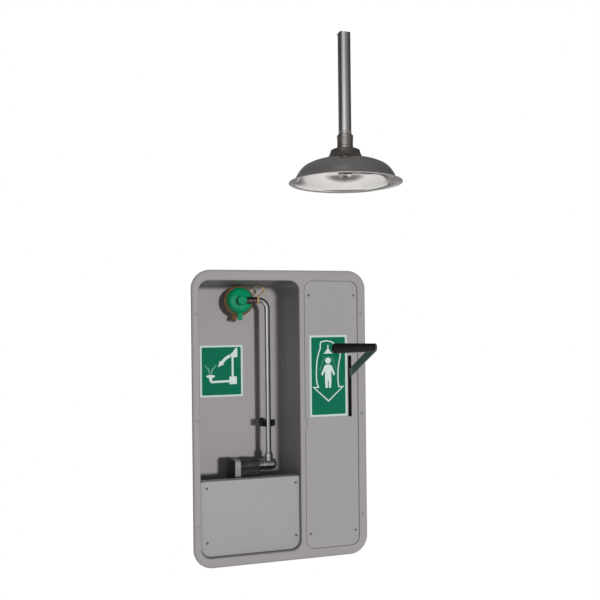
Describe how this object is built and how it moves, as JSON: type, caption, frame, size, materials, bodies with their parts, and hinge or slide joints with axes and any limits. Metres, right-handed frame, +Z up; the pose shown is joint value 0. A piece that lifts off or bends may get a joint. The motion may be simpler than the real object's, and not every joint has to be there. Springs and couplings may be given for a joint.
{
  "type": "eyewash and shower station",
  "caption": "Wall-recessed safety station: a swing-down eyewash in a moulded cabinet, and an overhead drench shower with a pull-down lever.",
  "frame": {"origin": "on the back face of the cabinet's flange (the wall's surface), in the middle of its bottom strip", "axes": "+Z up, +Y into the wall, +X to the right of someone who faces the station"},
  "size_m": [0.61, 0.9672, 1.6504],
  "materials": {
    "grey_plastic": "satin moulded",
    "brushed_aluminium": "brushed",
    "sign_green": "satin printed",
    "dark_casting": "dark satin",
    "galvanised_steel": "dull galvanised",
    "black_plastic": "moulded",
    "black_rubber": "moulded",
    "chrome": "polished",
    "brass": "machined",
    "green_plastic": "satin moulded",
    "amber_plastic": "translucent-looking amber",
    "stainless_steel": "polished",
    "lever_grey": "satin",
    "screw_steel": "plain"
  },
  "bodies": {
    "root": {"cabinet_shell": "grey_plastic", "clip_bracket": "black_plastic", "cover_screw_1": "screw_steel", "cover_screw_2": "screw_steel", "cover_screw_3": "screw_steel", "cover_screw_4": "screw_steel", "crossover_pipe": "galvanised_steel", "deflector_bolt": "screw_steel", "drop_elbow": "galvanised_steel", "drop_pipe": "galvanised_steel", "eyewash_sign": "sign_green", "eyewash_valve_body": "dark_casting", "flange_screw_1": "grey_plastic", "flange_screw_2": "grey_plastic", "flange_screw_3": "grey_plastic", "flange_screw_4": "grey_plastic", "flange_screw_5": "grey_plastic", "flange_screw_6": "grey_plastic", "inlet_pipe": "galvanised_steel", "lower_riser": "galvanised_steel", "overhead_pipe": "galvanised_steel", "panel_screw_1": "screw_steel", "panel_screw_2": "screw_steel", "panel_screw_3": "screw_steel", "panel_screw_4": "screw_steel", "pipe_clip": "black_plastic", "riser_elbow": "galvanised_steel", "shower_access_panel": "grey_plastic", "shower_bowl": "stainless_steel", "shower_coupling": "galvanised_steel", "shower_deflector": "stainless_steel", "shower_hub": "stainless_steel", "shower_sign": "sign_green", "shower_valve_body": "brass", "supply_elbow": "galvanised_steel", "supply_nipple": "galvanised_steel", "supply_tee": "galvanised_steel", "upper_riser": "galvanised_steel", "valve_access_cover": "brushed_aluminium", "valve_end_cap": "black_plastic", "valve_flange": "galvanised_steel", "valve_shelf": "grey_plastic"},
    "eyewash_arm": {"swivel_tee": "chrome", "valve_plug": "brass", "arm_pipe": "chrome", "arm_coupling": "chrome", "head_shell": "green_plastic", "outlet_plate": "green_plastic", "flow_regulator": "black_plastic", "tether_ring": "amber_plastic", "tether_strap": "amber_plastic"},
    "dust_cover": {"dust_cover": "amber_plastic"},
    "shower_lever": {"lever_arm": "lever_grey", "lever_nut": "screw_steel", "grip_rod": "screw_steel", "handle_grip": "black_rubber", "valve_stem": "brass", "shower_ball": "chrome"}
  },
  "joints": [
    {"name": "eyewash_arm_swing", "type": "hinge", "parent": "root", "child": "eyewash_arm", "pos_m": [-0.0935, 0.1, 0.2985], "axis": [1, 0, 0], "range_deg": [0, 90]},
    {"name": "dust_cover_lift", "type": "slide", "parent": "eyewash_arm", "child": "dust_cover", "axis": [0, 1, 0], "range_m": [0, 0.025], "deforming": ["tether_strap"]},
    {"name": "shower_lever_pull", "type": "hinge", "parent": "root", "child": "shower_lever", "pos_m": [0.2445, 0.03, 0.6025], "axis": [1, 0, 0], "range_deg": [0, 88]}
  ]
}
